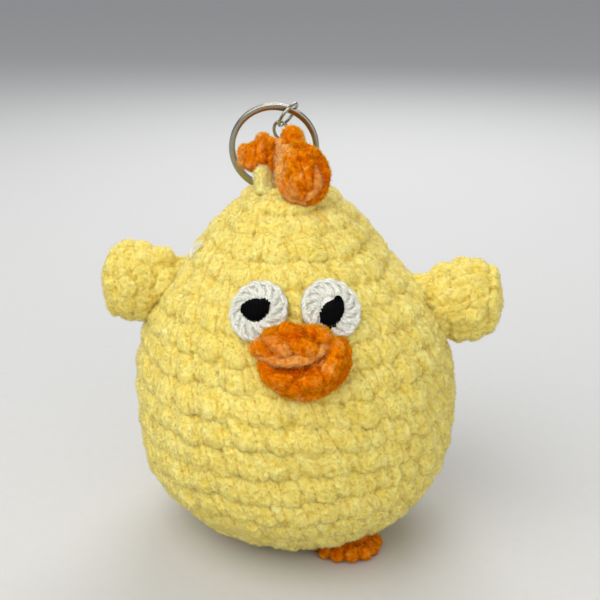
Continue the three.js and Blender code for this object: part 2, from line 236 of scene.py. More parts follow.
# ---- ring and chain, as in the frame ----
WIRE = 1.0
WIRE_RADIUS = 0.455
CUT = 0.2
RING_RADIUS = 11.95
RING_BAND = (1.1, 1.7)
RING_CORNER = 0.35
RING_CORNER_STEPS = 3
RING_FIRST = 1.2  # where the coils start and end, in steps past the middle of the step
RING_POINTS = 241
RING_PITCH = 1.25
RING_STEP = 0.5
RING_CENTRE = (-6.35, 18.8, 106.7)
RING_LEAN = 0.105
RING_HOOK = 0.42
CONNECTOR_RADIUS = 3.8
CONNECTOR_TILT = 0.63
CONNECTOR_FACING = (-0.42, -0.9, 0)
ANCHOR_RADIUS = 3.0
LOOP_TOP = (-1.0, 26.0, 89.9)
LOOP_YARN = 2.0
LINKS = 5
LINK_HALF_WIDTH = 1.9
CLEARANCE = 0.3
OVAL_POINTS = 49
OVAL_CUT_AT = np.pi / 3
WIRE_SIDES = 14

# ---- a wisp of the stuffing that shows on the left shoulder ----
WISP_FROM = (-27.4, -8.6, 83.0)
WISP_TO = (-25.2, -7.0, 86.2)
WISP_FIBRES = 14
WISP_RADIUS = 0.09
WISP_SPREAD = 0.5
WISP_SHARES = (0, 0.3, 0.7, 1)
WISP_LIFT, WISP_ARCH = 0.2, 0.9
WISP_UPWARDS = 8  # its slant, against the horizontal distance from the body's axis
WISP_STEPS, WISP_SIDES = 6, 6
WISP_SEED = 5

# ---- chenille ----
CLUMP_SIZE = 2.8
GRAIN_SIZE = 0.9
CLUMP_SHARES = (0.7, 0.5)  # of clumps of that size and of half of it
TIP_LEVEL, TIP_CLUMPS, TIP_GRAIN = 0.5, 0.8, 0.3  # a pile's mean height, and what each adds; the higher it stands the lighter it is painted, as painted highlight
PLAIN_TIPS = 0.75  # where a piece has no pile of its own
# How far clumps and grain push the surface, then the free fibres: how many stand on 1 mm2, their
# length, and how much their colour varies.
CROCHET_PILE = {"clumps": 0.45, "grain": 0.34, "fibres": 4.5, "length": 0.85, "mottle": 0.2}
STRAND_PILE = {"clumps": 0.55, "grain": 0.25, "fibres": 8.0, "length": 0.9, "mottle": 0.12}
COTTON_FIBRES = 9.0
COTTON_FIBRE_LENGTH = 0.8
FUZZ_WIDTH = 0.075
FUZZ_SPREAD = 0.42  # how far a fibre leans
FUZZ_CREASE = 0.4  # how much of a crease's painted shade it takes on
FUZZ_ROOT = 0.1  # how deep its foot is
FUZZ_CORNERS = (0, 2.1, 4.2)  # angles of its foot's corners
FUZZ_SHORTEST = 0.4  # the shortest one's share of the full length
GLOW_DEPTH = 1.6  # how far light passes through the pile
FIELD_SHIFT = np.array([17.3, 5.1, 9.7])  # moves the noise from one seed to the next

# ---- strands ----
OUTLINE_STEPS = 60
PATH_STEPS = 5
STRAND_SIDES = 14
ROUNDED_END = (0.5, 1.0, 1.45)  # angles of the rings in a bar's rounded end
START_SIDE = (0.13, 0.31, 0.94)  # any direction that no bar here starts along
PLIES = 3
PLY_TWIST = 0.9
PLY_OFFSET, PLY_RADIUS = 0.5, 0.58
PLY_SIDES = 6
PLY_SIDE = (0.2, -0.9, 0.3)
VOXEL = 0.32
SOFTENING = 2
STRAND_CREASE = 0.5

# ---- colours ----
# Each yarn's colours: light is painted highlight on raised pile, shade is painted shade on low pile, and
# the darkest is painted shade in creases.
YELLOW = {"light": "#fcf09c", "base": "#f8e682", "shade": "#f0d866", "crease_shade": "#dca616"}
ORANGE = {"light": "#fcb256", "base": "#f68b00", "shade": "#dc6400", "crease_shade": "#a42c00"}
WHITE = {"light": "#fbfbf3", "base": "#f0f0e6", "shade": "#dcdcce", "crease_shade": "#adad9d"}
BLACK = {"light": "#070708", "base": "#040405", "shade": "#030303", "crease_shade": "#020202"}
NICKEL = "#a8a496"

# ---- materials ----
# A pair says where noise or an attribute starts and ends to count.
BROAD_SIZE = 9.0
NOISE_DETAIL = 2.0
NOISE_ROUGHNESS = 0.6
SPECKLE = 0.8  # how much the fine grain adds to a pile's height, and so to its painted highlight
LOW_PILE = (0.5, 0.95)  # from painted shade on low pile to base
HIGH_PILE = (1.05, 1.65)  # from base to painted highlight on high pile
PATCHES = (0.35, 0.65)
PATCH_STRENGTH = 0.45
# Where a crease's painted shade starts and where it is full.
CREASES = (0.15, 1.0)
YARN_SPECULAR = 0.04
YARN_SHEEN_ROUGHNESS = 0.45
YARN_LIGHT_PATHS = (1.0, 0.7, 0.35)  # how far red, green and blue pass, as shares of GLOW_DEPTH
PAPER_ROUGHNESS = 0.9
WEAR_SIZE = 1.5
WEAR_DETAIL = 4.0
WEAR = (0.3, 0.7)
NICKEL_GLOSS = (0.12, 0.3)
DULLING = 0.8


def linear(code):
    """A hex colour as linear RGBA."""
    values = [int(code[i:i + 2], 16) / 255 for i in (1, 3, 5)]
    return (*[v / 12.92 if v <= 0.04045 else ((v + 0.055) / 1.055) ** 2.4 for v in values], 1)


# ---- meshes ----
def make_object(name, points, faces, material, attributes=None):
    """A smooth-shaded object from points in millimetres, each with a number for each attribute."""
    mesh = bpy.data.meshes.new(name)
    mesh.from_pydata((np.asarray(points) * MM).tolist(), [], [list(map(int, f)) for f in faces])
    mesh.materials.append(material)
    for key, values in {"tips": np.full(len(points), PLAIN_TIPS), **(attributes or {})}.items():
        layer = mesh.attributes.new(key, "FLOAT", "POINT")
        layer.data.foreach_set("value", np.asarray(values, np.float32))
    mesh.shade_smooth()
    mesh.update()
    obj = bpy.data.objects.new(name, mesh)
    bpy.context.scene.collection.objects.link(obj)
    return obj


def unit_sphere(detail):
    """Points and triangles of a sphere whose points are evenly spread."""
    bm = bmesh.new()
    bmesh.ops.create_icosphere(bm, subdivisions=detail, radius=1)
    points = np.array([v.co for v in bm.verts])
    faces = np.array([[v.index for v in f.verts] for f in bm.faces])
    bm.free()
    return points, faces


def smooth_curve(points, steps):
    """A Catmull-Rom curve through points, with that many steps between each two."""
    points = np.asarray(points, float)
    padded = np.vstack([2 * points[0] - points[1], points, 2 * points[-1] - points[-2]])
    t = np.linspace(0, 1, steps, endpoint=False)[:, None]
    pieces = []
    for i in range(len(points) - 1):
        a, b, c, d = padded[i:i + 4]
        bend = (2 * a - 5 * b + 4 * c - d) * t**2 + (3 * b - a - 3 * c + d) * t**3
        pieces.append(0.5 * (2 * b + (c - a) * t + bend))
    return np.vstack([*pieces, points[-1:]])


def field(points, size, seed):
    """Smooth noise from -1 to 1 whose features are size millimetres across."""
    return np.array([noise.noise(p) for p in (points / size + seed * FIELD_SHIFT).tolist()])


def point_normals(points, faces):
    """Each point's outward direction."""
    corners = points[faces]
    flat = np.cross(corners[:, 1] - corners[:, 0], corners[:, 2] - corners[:, 0])
    normals = np.zeros_like(points)
    for i in range(faces.shape[1]):
        np.add.at(normals, faces[:, i], flat)
    return normals / np.maximum(np.linalg.norm(normals, axis=1, keepdims=True), 1e-12)


def pile(points, faces, clumps, grain, seed):
    """Pushes points in and out in clumps and in a finer grain, and says how high each one stands, which
    the materials paint lighter as painted highlight.
    """
    large, small = CLUMP_SHARES
    clump = field(points, CLUMP_SIZE, seed) * large + field(points, CLUMP_SIZE / 2, seed + 1) * small
    fine = field(points, GRAIN_SIZE, seed + 2)
    height = (clump * clumps + fine * grain)[:, None]
    tips = TIP_LEVEL + clump * TIP_CLUMPS + fine * TIP_GRAIN
    return points + point_normals(points, faces) * height, tips


def add_fuzz(points, faces, attributes, density, length, mottle, seed):
    """Adds the pile's free ends, thin closed spikes; density is how many stand on 1 mm2."""
    rng = np.random.default_rng(seed)
    faces = np.asarray(faces)
    corners = points[faces]
    flat = np.cross(corners[:, 1] - corners[:, 0], corners[:, 2] - corners[:, 0])
    area = np.linalg.norm(flat, axis=1)
    share = area * (0.5 if faces.shape[1] == 3 else 1)
    count = int(share.sum() * density)
    chosen = rng.choice(len(faces), count, p=share / share.sum())
    weights = rng.dirichlet(np.ones(faces.shape[1]), count)
    root = (corners[chosen] * weights[:, :, None]).sum(1)
    out = flat[chosen] / area[chosen][:, None]
    lean = out + rng.normal(size=(count, 3)) * FUZZ_SPREAD
    lean /= np.linalg.norm(lean, axis=1, keepdims=True)
    side = np.cross(lean, rng.normal(size=(count, 3)))
    side /= np.linalg.norm(side, axis=1, keepdims=True)
    other = np.cross(lean, side)
    foot = root - FUZZ_ROOT * lean
    corner = [foot + FUZZ_WIDTH * (math.cos(a) * side + math.sin(a) * other) for a in FUZZ_CORNERS]
    tip = root + lean * (length * rng.uniform(FUZZ_SHORTEST, 1, count))[:, None]
    spikes = np.stack([*corner, tip], 1).reshape(-1, 3)
    start = len(points) + 4 * np.arange(count)[:, None]
    shape = np.array([(0, 1, 3), (1, 2, 3), (2, 0, 3), (2, 1, 0)])
    spike_faces = (start[:, None] + shape).reshape(-1, 3)
    grown = {}
    for key, values in attributes.items():
        value = values[faces[chosen, 0]]
        value = value + rng.uniform(-mottle, mottle, count) if key == "tips" else value * FUZZ_CREASE
        grown[key] = np.concatenate([values, np.repeat(value, 4)])
    return np.vstack([points, spikes]), faces.tolist() + spike_faces.tolist(), grown


def chenille(points, faces, crease, tone, yarn, seed):
    """A surface with its pile and its free fibres, and the two values that its painted crease shade and
    painted tip highlight need.
    """
    points, tips = pile(points, faces, yarn["clumps"], yarn["grain"], seed)
    # A strand's tone moves its painted highlight and painted shade up or down.
    attributes = {"crease": crease, "tips": tips + tone}
    return add_fuzz(points, faces, attributes, yarn["fibres"], yarn["length"], yarn["mottle"], seed)


def tube(path, radii, sides=8, closed=False):
    """Points and faces of a round bar along a path, with rounded ends unless it is closed."""
    path = np.asarray(path, float)
    radii = np.broadcast_to(np.asarray(radii, float), len(path))
    if closed:
        tangent = np.roll(path, -1, 0) - np.roll(path, 1, 0)
    else:
        tangent = np.gradient(path, axis=0)
    tangent /= np.linalg.norm(tangent, axis=1, keepdims=True)
    side = np.cross(tangent[0], START_SIDE)
    rings = []
    turn = 2 * np.pi * np.arange(sides) / sides
    for centre, along, radius in zip(path, tangent, radii):
        side = side - along * (side @ along)
        side /= np.linalg.norm(side)
        other = np.cross(along, side)
        circle = np.outer(np.cos(turn), side) + np.outer(np.sin(turn), other)
        rings.append((centre, circle, radius, along))
    if not closed:
        caps = []
        for (centre, circle, radius, along), way in ((rings[0], -1), (rings[-1], 1)):
            caps.append([
                (centre + way * along * radius * math.sin(a), circle, radius * math.cos(a), along)
                for a in ROUNDED_END
            ])
        rings = [*caps[0][::-1], *rings, *caps[1]]
    points = np.vstack([centre + circle * radius for centre, circle, radius, _ in rings])
    faces = []
    for i in range(len(rings) if closed else len(rings) - 1):
        for j in range(sides):
            a, b = i * sides + j, i * sides + (j + 1) % sides
            step = sides if i < len(rings) - 1 else -i * sides
            faces.append([a, b, b + step, a + step])
    if not closed:
        faces.append(list(range(sides))[::-1])
        faces.append([len(points) - sides + j for j in range(sides)])
    return points, faces


def rope(path, radius):
    """A thread of plies twisted about a path."""
    path = smooth_curve(path, PATH_STEPS)
    tangent = np.gradient(path, axis=0)
    tangent /= np.linalg.norm(tangent, axis=1, keepdims=True)
    side = np.cross(tangent, PLY_SIDE)
    side /= np.linalg.norm(side, axis=1, keepdims=True)
    other = np.cross(tangent, side)
    along = np.concatenate([[0], np.cumsum(np.linalg.norm(np.diff(path, axis=0), axis=1))])
    plies = []
    for ply in range(PLIES):
        twist = (2 * np.pi * ply / PLIES + along / radius * PLY_TWIST)[:, None]
        centre = path + (np.cos(twist) * side + np.sin(twist) * other) * radius * PLY_OFFSET
        plies.append(tube(centre, radius * PLY_RADIUS, PLY_SIDES))
    return merge(plies)


def merge(parts):
    """Joins (points, faces) pairs into one."""
    points = []
    faces = []
    count = 0
    for some_points, some_faces in parts:
        points.append(some_points)
        faces.extend([[i + count for i in face] for face in some_faces])
        count += len(some_points)
    return np.vstack(points), faces


def fused(points, faces):
    """One closed skin round overlapping closed bodies, as points and quads."""
    mesh = bpy.data.meshes.new("fused")
    mesh.from_pydata((points * MM).tolist(), [], faces)
    obj = bpy.data.objects.new("fused", mesh)
    bpy.context.scene.collection.objects.link(obj)
    remesh = obj.modifiers.new("remesh", "REMESH")
    remesh.mode = "VOXEL"
    remesh.voxel_size = VOXEL * MM
    soften = obj.modifiers.new("soften", "SMOOTH")
    soften.iterations = SOFTENING
    result = bpy.data.meshes.new_from_object(obj.evaluated_get(bpy.context.evaluated_depsgraph_get()))
    skin = np.array([v.co for v in result.vertices]) / MM
    quads = np.array([p.vertices[:] for p in result.polygons])
    bpy.data.objects.remove(obj)
    return skin, quads


def distance_to_strand(points, strand):
    """Distance from each point to the surface of a strand of yarn."""
    path = np.array(strand["path"])
    nearest = np.full(len(points), np.inf)
    for a, b in zip(path[:-1], path[1:]):
        step = b - a
        t = np.clip((points - a) @ step / (step @ step), 0, 1)
        nearest = np.minimum(nearest, np.linalg.norm(points - a - t[:, None] * step, axis=1))
    return nearest - strand["radius"]


def yarn_piece(name, strands, material, seed, floor=None):
    """A piece made of short fat strands of yarn that have grown together."""
    parts = [tube(smooth_curve(s["path"], PATH_STEPS), s["radius"], STRAND_SIDES) for s in strands]
    points, faces = fused(*merge(parts))
    distances = np.array([distance_to_strand(points, s) for s in strands])
    tone = np.array([s.get("tone", 0) for s in strands])[distances.argmin(0)]
    distances = np.sort(distances, axis=0)
    crease = np.zeros(len(points))
    if len(strands) > 1:
        crease = 1 - np.clip((distances[1] - distances[0]) / STRAND_CREASE, 0, 1)
    points, faces, attributes = chenille(points, faces, crease, tone, STRAND_PILE, seed)
    if floor is not None:
        points[:, 2] = np.maximum(points[:, 2], floor)
    return make_object(name, points, faces, material, attributes)


# ---- crochet worked in rounds ----
class Turned:
    """A surface of revolution about Z, measured by the distance along its outline."""

    def __init__(self, outline, inset):
        curve = smooth_curve(outline, OUTLINE_STEPS)
        tangent = np.gradient(curve, axis=0)
        tangent /= np.linalg.norm(tangent, axis=1, keepdims=True)
        self.out = np.stack([tangent[:, 1], -tangent[:, 0]], 1)
        self.curve = curve - self.out * inset
        self.curve[:, 0] = np.maximum(self.curve[:, 0], 0)
        steps = np.linalg.norm(np.diff(curve, axis=0), axis=1)
        self.along = np.concatenate([[0], np.cumsum(steps)])
        self.length = self.along[-1]

    def at(self, along):
        """Radius, height, and the outward direction's two parts."""
        values = (*self.curve.T, *self.out.T)
        return [np.interp(along, self.along, v) for v in values]


# One stitch is a fat puff and a thin one, side by side. Their places and half widths are shares of
# the stitch's width, and lift is how far each stands above the other.
PUFFS = [
    {"centre": -0.08, "half_width": 0.47, "lift": 0.0, "drop": 0.03},
    {"centre": 0.38, "half_width": 0.28, "lift": -0.04, "drop": -0.06},
]
PUFF_RELIEF = 0.28  # a puff's height as a share of the stitch's width
PUFF_REACH = (0.62, 0.72)  # how far it goes down and up, as shares of the row's height
PUFF_SHEAR = 0.30  # puffs lean to the left at their tops
PUFF_BEND = 0.25
PUFF_SAG = 0.15  # and bulge more at their bottoms
# The powers that shape its edge: sideways and downwards, and upwards.
PUFF_EDGE, PUFF_TOP_EDGE = 2.3, 2.8
HOLLOW = 0.05  # level between the puffs, as a share of the stitch's width
PUFF_ROUNDING = 0.55  # 0.5 makes its edges upright, and 1 slopes them
# How much each puff differs from the next. There is one random number for each of these five.
VARIED_DROP, VARIED_SHEAR, VARIED_CENTRE, VARIED_WIDTH, VARIED_LIFT = 0.06, 0.12, 0.03, 0.07, 0.035
VARIED = 5
VARIED_LIMIT = 2
# Rows lie flatter towards the end of a piece, from this share of its length onwards.
FLATTER_FROM, FLATTEST = 0.6, 0.55
CREASE_WIDTH = 0.045
NOWHERE = -9.0  # stands for no puff
SOFTNESS = 0.018  # creases are rounded by this share of the stitch's width
ROW_DRIFT = 0.2  # each row starts this share of a stitch further round
# Rows wander up and down in two waves: shares of a row's height, waves to the round, and the turn
# from one row to the next.
ROW_WAVES = [(0.12, 2, 0.5), (0.06, 5, 0.9)]
ROW_REACH = 1.2  # in rows, how far a stitch is felt above and below its middle
FEWEST_STITCHES, MOST_STITCHES = 5, 36
STITCH_STEP = 3  # rounds grow by this many stitches
SMALLEST_ROUND = 0.5


def puff_height(puff, x, y, width, height, jitter):
    """How far a puff stands out at (x, y) from its stitch's middle, all in millimetres."""
    drop, shear, centre, widening, lift = jitter.T
    y = y / height + puff["drop"] + VARIED_DROP * drop
    x = x / width + (PUFF_SHEAR + VARIED_SHEAR * shear) * y + PUFF_BEND * y**2
    half_width = puff["half_width"] * (1 + VARIED_WIDTH * widening)
    across = np.abs(x - puff["centre"] - VARIED_CENTRE * centre) / half_width
    upright = np.where(y > 0, y / PUFF_REACH[1], -y / PUFF_REACH[0])
    end = np.where(y > 0, upright**PUFF_TOP_EDGE, upright**PUFF_EDGE)
    fullness = 1 - across**PUFF_EDGE - end
    bulge = PUFF_RELIEF * np.maximum(fullness, 0) ** PUFF_ROUNDING + puff["lift"] + VARIED_LIFT * lift
    return np.where(fullness > 0, bulge - PUFF_SAG * y, NOWHERE) * width


def crochet(surface, along, angle, width, height, rng):
    """Height of the stitches above the surface, and how deep in a crease each point lies."""
    rows = max(2, round(surface.length / height))
    height = surface.length / rows
    best = np.full(len(along), HOLLOW * width)
    second = np.full(len(along), NOWHERE * width)
    softness = SOFTNESS * width
    total = np.exp(best / softness)
    phase = 0.0
    for row in range(rows):
        middle = (row + 0.5) * height
        radius = surface.at(middle)[0]
        flatter = np.interp(middle / surface.length, (FLATTER_FROM, 1), (1, FLATTEST))
        stitches = STITCH_STEP * round(2 * math.pi * radius / width / STITCH_STEP)
        stitches = max(FEWEST_STITCHES, min(MOST_STITCHES, stitches))
        phase += ROW_DRIFT
        waves = [share * np.sin(angle * count + row * turn) for share, count, turn in ROW_WAVES]
        offset = along - middle - height * sum(waves)
        near = np.abs(offset) < ROW_REACH * height
        local = 2 * math.pi * np.maximum(surface.at(along[near])[0], SMALLEST_ROUND) / stitches
        across = angle[near] / (2 * math.pi) * stitches + phase
        jitters = rng.normal(size=(len(PUFFS), stitches, VARIED)).clip(-VARIED_LIMIT, VARIED_LIMIT)
        for step in (-1, 0, 1):
            stitch = np.floor(across) + step
            x = (across - stitch - 0.5) * local
            for puff, jitter in zip(PUFFS, jitters):
                jitter = jitter[stitch.astype(int) % stitches]
                level = puff_height(puff, x, offset[near], local, height, jitter) * flatter
                total[near] += np.exp(level / softness)
                second[near] = np.maximum(np.minimum(level, best[near]), second[near])
                best[near] = np.maximum(level, best[near])
    crease = 1 - np.clip((best - second) / (CREASE_WIDTH * width), 0, 1)
    return softness * np.log(total), crease


def crocheted(name, shape, detail, material, seed, place):
    """A crocheted piece of revolution; place turns its own points into the frame's."""
    sphere, faces = unit_sphere(detail)
    surface = Turned(shape["outline"], shape["inset"])
    along = np.arccos(np.clip(-sphere[:, 2], -1, 1)) / math.pi * surface.length
    angle = np.arctan2(sphere[:, 1], sphere[:, 0])
    rng = np.random.default_rng(seed)
    level, crease = crochet(surface, along, angle, shape["stitch"], shape["row"], rng)
    radius, z, out_r, out_z = surface.at(along)
    ring = np.stack([np.cos(angle), np.sin(angle)], 1)
    points = np.column_stack([ring * (radius + out_r * level)[:, None], z + out_z * level])
    points[:, 1] *= shape["flatness"]
    points, faces, attributes = chenille(place(points), faces, crease, 0, CROCHET_PILE, seed)
    points[:, 2] = np.maximum(points[:, 2], LOWEST)
    return make_object(name, points, faces, material, attributes)


# ---- materials ----
def new_material(name):
    """A material, its nodes, its links and its shader."""
    material = bpy.data.materials.new(name)
    material.use_nodes = True
    tree = material.node_tree
    return material, tree.nodes, tree.links, tree.nodes["Principled BSDF"]


def noise_node(nodes, links, coordinates, size, detail=NOISE_DETAIL):
    """A noise texture whose features are size millimetres across."""
    node = nodes.new("ShaderNodeTexNoise")
    node.inputs["Scale"].default_value = 1 / (size * MM)
    node.inputs["Detail"].default_value = detail
    node.inputs["Roughness"].default_value = NOISE_ROUGHNESS
    links.new(coordinates, node.inputs["Vector"])
    return node.outputs["Fac"]


def mix_node(nodes, links, factor, first, second):
    """A mix of two colours, each a constant or another node's output."""
    node = nodes.new("ShaderNodeMix")
    node.data_type = "RGBA"
    links.new(factor, node.inputs["Factor"])
    for socket, value in (("A", first), ("B", second)):
        entry = [s for s in node.inputs if s.name == socket and s.type == "RGBA"][0]
        if isinstance(value, tuple):
            entry.default_value = value
        else:
            links.new(value, entry)
    return [s for s in node.outputs if s.type == "RGBA"][0]


def range_node(nodes, links, value, given, wanted=(0.0, 1.0)):
    """A value moved from one range into another."""
    node = nodes.new("ShaderNodeMapRange")
    node.inputs["From Min"].default_value, node.inputs["From Max"].default_value = given
    node.inputs["To Min"].default_value, node.inputs["To Max"].default_value = wanted
    links.new(value, node.inputs["Value"])
    return node.outputs["Result"]


def yarn_material(name, colours, grain, bump, sheen, glow=0.0, depth=0.6, rough=0.9):
    """Soft yarn: tips painted lighter as painted highlight on raised pile, low pile and creases painted
    darker as painted shade, and a fine pile in the bump.
    """
    material, nodes, links, shader = new_material(name)
    coordinates = nodes.new("ShaderNodeTexCoord").outputs["Object"]
    crease = nodes.new("ShaderNodeAttribute")
    crease.attribute_name = "crease"
    fine = noise_node(nodes, links, coordinates, grain)
    broad = noise_node(nodes, links, coordinates, BROAD_SIZE)
    tips = nodes.new("ShaderNodeAttribute")
    tips.attribute_name = "tips"
    speckle = nodes.new("ShaderNodeMath")
    speckle.operation = "MULTIPLY_ADD"
    links.new(fine, speckle.inputs[0])
    speckle.inputs[1].default_value = SPECKLE
    links.new(tips.outputs["Fac"], speckle.inputs[2])
    low = range_node(nodes, links, speckle.outputs["Value"], LOW_PILE)
    high = range_node(nodes, links, speckle.outputs["Value"], HIGH_PILE)
    patch = range_node(nodes, links, broad, PATCHES, (0.0, PATCH_STRENGTH))
    # Painted shade on low pile and painted highlight on high pile, from how high the pile stands.
    base = mix_node(nodes, links, low, linear(colours["shade"]), linear(colours["base"]))
    base = mix_node(nodes, links, high, base, linear(colours["light"]))
    base = mix_node(nodes, links, patch, base, linear(colours["shade"]))
    # Painted shade: creases between puffs and strands are mixed towards the darkest colour.
    crease_shading = range_node(nodes, links, crease.outputs["Fac"], CREASES, (0.0, depth))
    base = mix_node(nodes, links, crease_shading, base, linear(colours["crease_shade"]))
    links.new(base, shader.inputs["Base Color"])
    relief = nodes.new("ShaderNodeBump")
    relief.inputs["Strength"].default_value = bump
    relief.inputs["Distance"].default_value = grain * MM
    links.new(fine, relief.inputs["Height"])
    links.new(relief.outputs["Normal"], shader.inputs["Normal"])
    shader.inputs["Roughness"].default_value = rough
    shader.inputs["Specular IOR Level"].default_value = YARN_SPECULAR
    shader.inputs["Subsurface Weight"].default_value = glow
    shader.inputs["Subsurface Radius"].default_value = YARN_LIGHT_PATHS
    shader.inputs["Subsurface Scale"].default_value = GLOW_DEPTH * MM
    shader.inputs["Sheen Weight"].default_value = sheen
    shader.inputs["Sheen Roughness"].default_value = YARN_SHEEN_ROUGHNESS
    shader.inputs["Sheen Tint"].default_value = linear(colours["light"])
    return material


def metal_material(name, colour):
    """Nickel plate with faint wear that shows in its gloss."""
    material, nodes, links, shader = new_material(name)
    coordinates = nodes.new("ShaderNodeTexCoord").outputs["Object"]
    wear = noise_node(nodes, links, coordinates, WEAR_SIZE, WEAR_DETAIL)
    links.new(range_node(nodes, links, wear, WEAR, NICKEL_GLOSS), shader.inputs["Roughness"])
    dull = tuple(DULLING * c for c in linear(colour)[:3]) + (1,)
    links.new(mix_node(nodes, links, wear, dull, linear(colour)), shader.inputs["Base Color"])
    shader.inputs["Metallic"].default_value = 1
    return material


yellow = yarn_material(
    "yellow_chenille_yarn", YELLOW, grain=0.55, bump=0.6, sheen=0.2, glow=0.45, depth=0.65)
orange = yarn_material(
    "orange_chenille_yarn", ORANGE, grain=0.55, bump=0.7, sheen=0.03, glow=0.5, depth=0.5)
white = yarn_material("white_cotton_yarn", WHITE, grain=0.25, bump=0.35, sheen=0.15)
black = yarn_material("black_thread", BLACK, grain=0.2, bump=0.3, sheen=0.0, rough=0.6)
fibre = yarn_material("polyester_fibre", WHITE, grain=0.4, bump=0.3, sheen=0.3)
nickel = metal_material("nickel_plate", NICKEL)


# ---- camera and studio ----
def build_camera():
    back = Vector((0, -math.cos(CAMERA_ELEVATION), math.sin(CAMERA_ELEVATION)))
    data = bpy.data.cameras.new("camera")
    data.lens = CAMERA_LENS
    data.sensor_width = CAMERA_SENSOR
    data.clip_start, data.clip_end = CAMERA_REACH
    camera = bpy.data.objects.new("camera", data)
    bpy.context.scene.collection.objects.link(camera)
    camera.location = (CAMERA_TARGET + back * CAMERA_DISTANCE) * MM
    camera.rotation_euler = (-back).to_track_quat("-Z", "Y").to_euler()
    bpy.context.scene.camera = camera


def area_light(name, given):
    data = bpy.data.lights.new(name, "AREA")
    data.shape = "DISK"
    data.size = given["size"]
    data.energy = given["power"]
    data.color = given["colour"]
    light = bpy.data.objects.new(name, data)
    bpy.context.scene.collection.objects.link(light)
    light.location = given["at"]
    aim = LIGHTS_AIM - Vector(given["at"])
    light.rotation_euler = aim.to_track_quat("-Z", "Y").to_euler()


def build_studio():
    half = FLOOR_HALF_SIZE
    corners = [(-half, -half, 0), (half, -half, 0), (half, half, 0), (-half, half, 0)]
    material, nodes, links, shader = new_material("floor_paper")
    coordinates = nodes.new("ShaderNodeTexCoord").outputs["Object"]
    grain = noise_node(nodes, links, coordinates, PAPER_GRAIN)
    tone = mix_node(nodes, links, grain, *map(linear, PAPER))
    links.new(tone, shader.inputs["Base Color"])
    shader.inputs["Roughness"].default_value = PAPER_ROUGHNESS
    floor = make_object("floor", corners, [(0, 1, 2, 3)], material)
    world = bpy.data.worlds.new("studio")
    bpy.context.scene.world = world
    world.use_nodes = True
    sky = world.node_tree.nodes["Background"]
    sky.inputs["Color"].default_value = SKY_COLOUR
    sky.inputs["Strength"].default_value = SKY_STRENGTH
    for name, given in LIGHTS.items():
        area_light(name, given)
    bpy.context.scene.view_settings.view_transform = "Standard"


# ---- body and wings ----
def lean_with_height(points):
    points = points.copy()
    points[:, 0] -= LEAN * np.maximum(points[:, 2] - BELLY_HEIGHT, 0)
    return points


def place_body(points):
    points = lean_with_height(points)
    points += LUMP * field(points, LUMP_SIZE, LUMP_SEED)[:, None] * (1, 1, 0)
    points[:, 2] = np.maximum(points[:, 2], FLAT_BOTTOM)
    return points


def place_wing(wing):
    """What turns a wing's own points, which stand up on its root, into the frame's."""
    out = Vector(wing["out"]).normalized()
    front = Vector((0, -1, 0))
    turn = np.array(Matrix((front.cross(out), front, out)).transposed())
    size = wing["size"]
    return lambda points: (points * size) @ turn.T + np.array(wing["root"])


def build_plush():
    trial, full = BODY_DETAIL
    detail = full
    body = crocheted("body_crochet", BODY, detail, yellow, BODY_SEED, place_body)
    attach(body, "root")
    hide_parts("body_shell")
    for side, wing in WINGS.items():
        name = f"wing_{side}_crochet"
        piece = crocheted(name, WING, WING_DETAIL, yellow, wing["seed"], place_wing(wing))
        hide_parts(f"wing_{side}", f"wing_fill_{side}")
        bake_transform(piece)


# ---- face ----
def front_frame(x, z):
    """A place on the body's front, and its directions across, up and out."""
    outline = smooth_curve(BODY_OUTLINE, OUTLINE_STEPS)
    spot = int(np.argmin(np.abs(outline[:, 1] - z)))
    radius = outline[spot, 0]
    slope = np.gradient(outline, axis=0)[spot]
    slope /= np.linalg.norm(slope)
    sideways = x + LEAN * max(z - BELLY_HEIGHT, 0)
    forward = -math.sqrt(radius**2 - sideways**2)
    out = np.array([slope[1] * sideways / radius, slope[1] * forward / radius, -slope[0]])
    across = np.cross((0, 0, 1), out)
    across /= np.linalg.norm(across)
    return np.array([x, forward, z]), across, np.cross(out, across), out


def on_front(frame_at, flat):
    """Points given across, up and out at a place on the front, in the frame's axes."""
    origin, across, up, out = frame_at
    flat = np.asarray(flat, float)
    return origin + flat[:, :1] * across + flat[:, 1:2] * up + flat[:, 2:] * out


def oval_pad(radii, lift):
    sphere, faces = unit_sphere(PAD_DETAIL)
    return sphere * radii + (0, 0, lift), faces.tolist()


def eye_threads(radii):
    """The stitches of an eye: legs from the middle outwards, then the loops along its rim."""
    parts = []
    for i in range(EYE_STITCHES):
        for share, start, end, lean in EYE_LEGS:
            angle = 2 * math.pi * (i + share) / EYE_STITCHES
            turns = np.linspace(0, 1, EYE_LEG_POINTS)
            reach = start + (end - start) * turns
            swirl = angle + lean * turns
            arc = np.sin(np.pi * (EYE_LEG_ARC[0] + EYE_LEG_ARC[1] * turns))
            rise = EYE_LIFT + EYE_LEG_RISE * arc - EYE_DOMING * reach**2
            parts.append((np.cos(swirl) * reach, np.sin(swirl) * reach, rise, EYE_LEG_RADIUS))
        angle = 2 * math.pi * (i + EYE_LOOP["start"]) / EYE_STITCHES
        turns = np.linspace(0, 1, EYE_LOOP["points"])
        reach = EYE_LOOP["reach"] + EYE_LOOP["bow"] * np.sin(np.pi * turns) - EYE_LOOP["slip"] * turns
        swirl = angle + EYE_LOOP["turn"] * turns
        rise = EYE_LIFT - EYE_LOOP_DROP + EYE_LOOP_RISE * np.sin(np.pi * turns) - EYE_LOOP_FALL * turns
        parts.append((np.cos(swirl) * reach, np.sin(swirl) * reach, rise, EYE_LOOP_RADIUS))
    return [rope(np.stack([x * radii[0], y * radii[1], z], 1), radius) for x, y, z, radius in parts]


